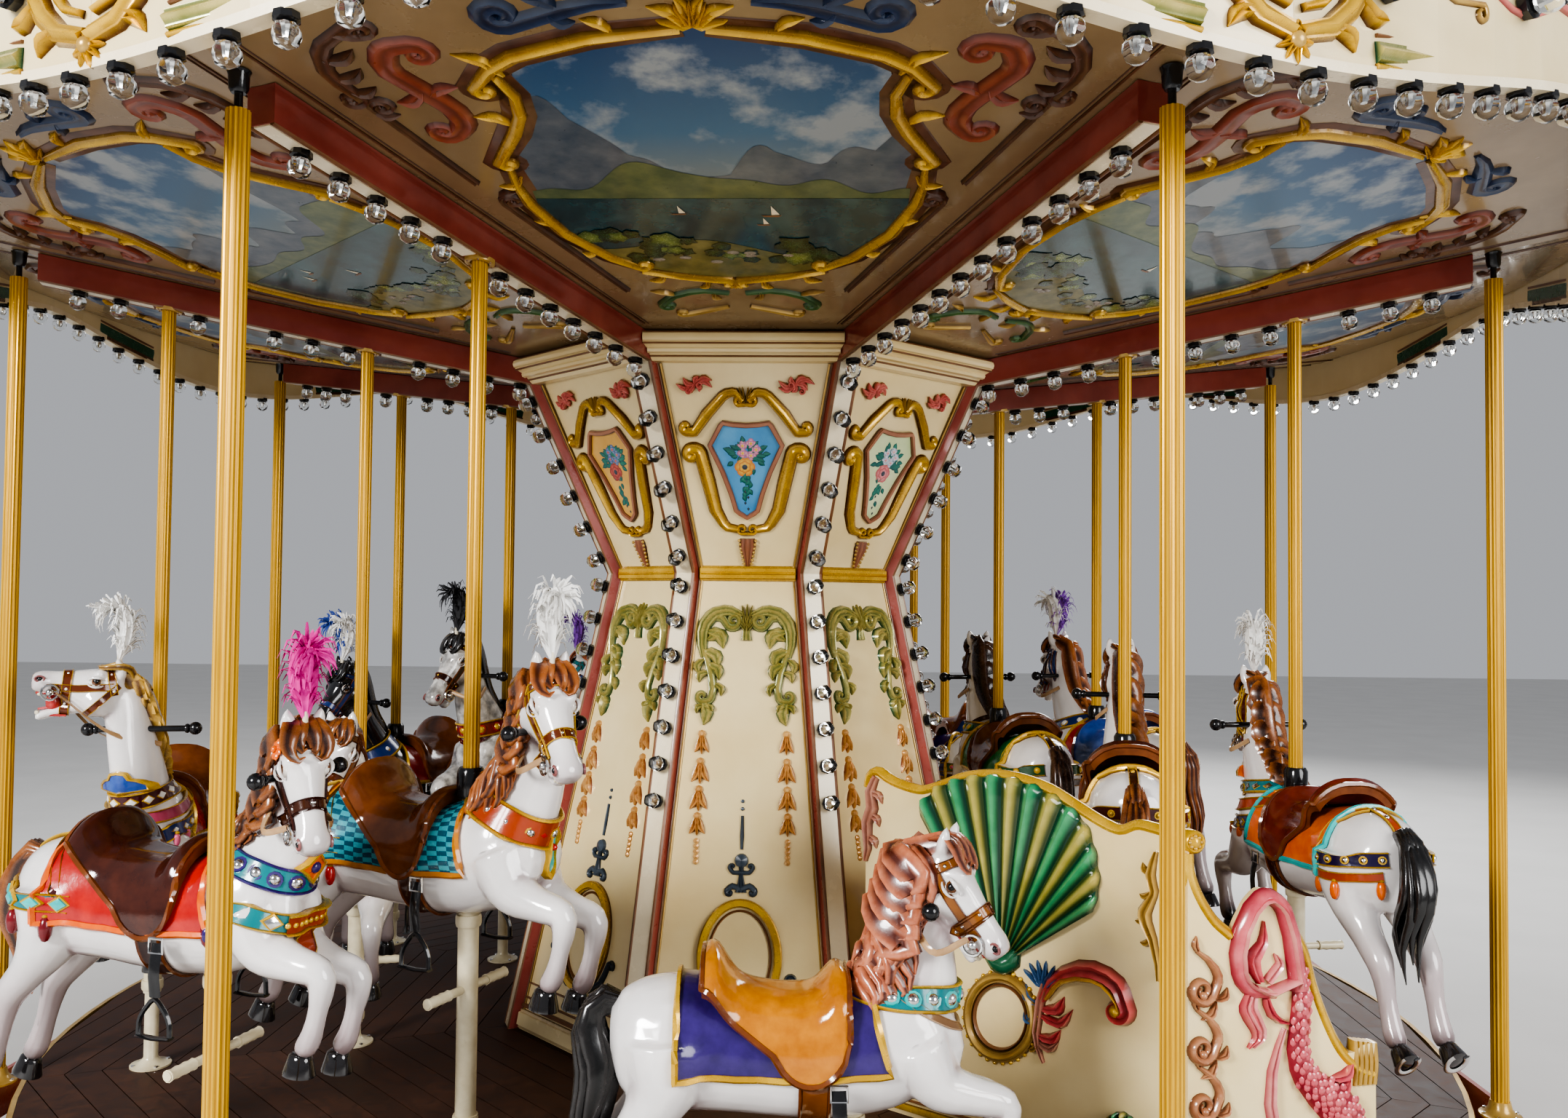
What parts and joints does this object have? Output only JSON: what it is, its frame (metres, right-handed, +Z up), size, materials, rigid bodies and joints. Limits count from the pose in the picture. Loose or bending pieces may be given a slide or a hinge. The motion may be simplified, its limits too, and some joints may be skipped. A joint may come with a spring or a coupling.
{
  "type": "fairground carousel",
  "caption": "Round fairground ride with jumping and standing horses and a chariot on a turning octagonal platform under a round canopy.",
  "frame": {"origin": "centre of the base frame's underside on the ground, under the turning axis", "axes": "+Z up along the turning axis, -Y towards the front bay, +X to the right seen from the front"},
  "size_m": [6.8, 6.8, 4.7703],
  "materials": {
    "frame_steel": "dark satin paint",
    "deck_wood": "dark varnished boards",
    "skirt_paint": "gloss paint",
    "panel_cream": "glossy cream paint on moulded panels",
    "sweep_paint": "red sides and white underside",
    "post_gold": "reeded, polished",
    "gold_paint": "gold paint",
    "ceiling_paint": "painted panels",
    "roof_cover": "coated canvas",
    "chariot_bench": "gloss paint",
    "horse_white": "glossy painted fibreglass"
  },
  "bodies": {
    "base": {"base_frame": "frame_steel"},
    "turntable": {"platform_deck": "deck_wood", "platform_skirt": "skirt_paint", "column_lower": "panel_cream", "column_upper": "panel_cream", "column_cornice": "panel_cream", "sweep_beam_1": "sweep_paint", "sweep_beam_2": "sweep_paint", "sweep_beam_3": "sweep_paint", "sweep_beam_4": "sweep_paint", "sweep_beam_5": "sweep_paint", "sweep_beam_6": "sweep_paint", "sweep_beam_7": "sweep_paint", "sweep_beam_8": "sweep_paint", "outer_post_1": "post_gold", "outer_post_2": "post_gold", "outer_post_3": "post_gold", "outer_post_4": "post_gold", "outer_post_5": "post_gold", "outer_post_6": "post_gold", "outer_post_7": "post_gold", "outer_post_8": "post_gold", "rounding_board_1": "panel_cream", "rounding_board_2": "panel_cream", "rounding_board_3": "panel_cream", "rounding_board_4": "panel_cream", "rounding_board_5": "panel_cream", "rounding_board_6": "panel_cream", "rounding_board_7": "panel_cream", "rounding_board_8": "panel_cream", "ceiling": "ceiling_paint", "roof_canopy": "roof_cover", "roof_finial": "gold_paint", "stander_horse_1": "horse_white", "stander_horse_2": "horse_white", "chariot_back": "panel_cream", "chariot_outer_side": "panel_cream", "chariot_inner_side": "panel_cream", "chariot_seat": "chariot_bench"},
    "jumper_1": {"jumper_horse_1": "horse_white"},
    "jumper_2": {"jumper_horse_2": "horse_white"},
    "jumper_3": {"jumper_horse_3": "horse_white"},
    "jumper_4": {"jumper_horse_4": "horse_white"},
    "jumper_5": {"jumper_horse_5": "horse_white"},
    "jumper_6": {"jumper_horse_6": "horse_white"},
    "jumper_7": {"jumper_horse_7": "horse_white"},
    "jumper_8": {"jumper_horse_8": "horse_white"},
    "jumper_9": {"jumper_horse_9": "horse_white"},
    "jumper_10": {"jumper_horse_10": "horse_white"},
    "jumper_11": {"jumper_horse_11": "horse_white"},
    "jumper_12": {"jumper_horse_12": "horse_white"},
    "jumper_13": {"jumper_horse_13": "horse_white"}
  },
  "joints": [
    {"name": "turntable_spin", "type": "hinge", "parent": "base", "child": "turntable", "pos_m": [0, 0, 0.15], "axis": [0, 0, 1], "continuous": true},
    {"name": "horse_1_rise", "type": "slide", "parent": "turntable", "child": "jumper_1", "axis": [0, 0, 1], "range_m": [-0.15, 0.15]},
    {"name": "horse_2_rise", "type": "slide", "parent": "turntable", "child": "jumper_2", "axis": [0, 0, 1], "range_m": [-0.24, 0.06]},
    {"name": "horse_3_rise", "type": "slide", "parent": "turntable", "child": "jumper_3", "axis": [0, 0, 1], "range_m": [-0.06, 0.24]},
    {"name": "horse_4_rise", "type": "slide", "parent": "turntable", "child": "jumper_4", "axis": [0, 0, 1], "range_m": [-0.24, 0.06]},
    {"name": "horse_5_rise", "type": "slide", "parent": "turntable", "child": "jumper_5", "axis": [0, 0, 1], "range_m": [-0.06, 0.24]},
    {"name": "horse_6_rise", "type": "slide", "parent": "turntable", "child": "jumper_6", "axis": [0, 0, 1], "range_m": [-0.21, 0.09]},
    {"name": "horse_7_rise", "type": "slide", "parent": "turntable", "child": "jumper_7", "axis": [0, 0, 1], "range_m": [-0.09, 0.21]},
    {"name": "horse_8_rise", "type": "slide", "parent": "turntable", "child": "jumper_8", "axis": [0, 0, 1], "range_m": [-0.07, 0.23]},
    {"name": "horse_9_rise", "type": "slide", "parent": "turntable", "child": "jumper_9", "axis": [0, 0, 1], "range_m": [-0.23, 0.07]},
    {"name": "horse_10_rise", "type": "slide", "parent": "turntable", "child": "jumper_10", "axis": [0, 0, 1], "range_m": [-0.08, 0.22]},
    {"name": "horse_11_rise", "type": "slide", "parent": "turntable", "child": "jumper_11", "axis": [0, 0, 1], "range_m": [-0.22, 0.08]},
    {"name": "horse_12_rise", "type": "slide", "parent": "turntable", "child": "jumper_12", "axis": [0, 0, 1], "range_m": [-0.25, 0.05]},
    {"name": "horse_13_rise", "type": "slide", "parent": "turntable", "child": "jumper_13", "axis": [0, 0, 1], "range_m": [-0.05, 0.25]}
  ],
  "couplings": [
    {"joint": "horse_3_rise", "follows": "horse_2_rise", "ratio": -1},
    {"joint": "horse_5_rise", "follows": "horse_4_rise", "ratio": -1},
    {"joint": "horse_7_rise", "follows": "horse_6_rise", "ratio": -1},
    {"joint": "horse_9_rise", "follows": "horse_8_rise", "ratio": -1},
    {"joint": "horse_11_rise", "follows": "horse_10_rise", "ratio": -1},
    {"joint": "horse_13_rise", "follows": "horse_12_rise", "ratio": -1}
  ]
}
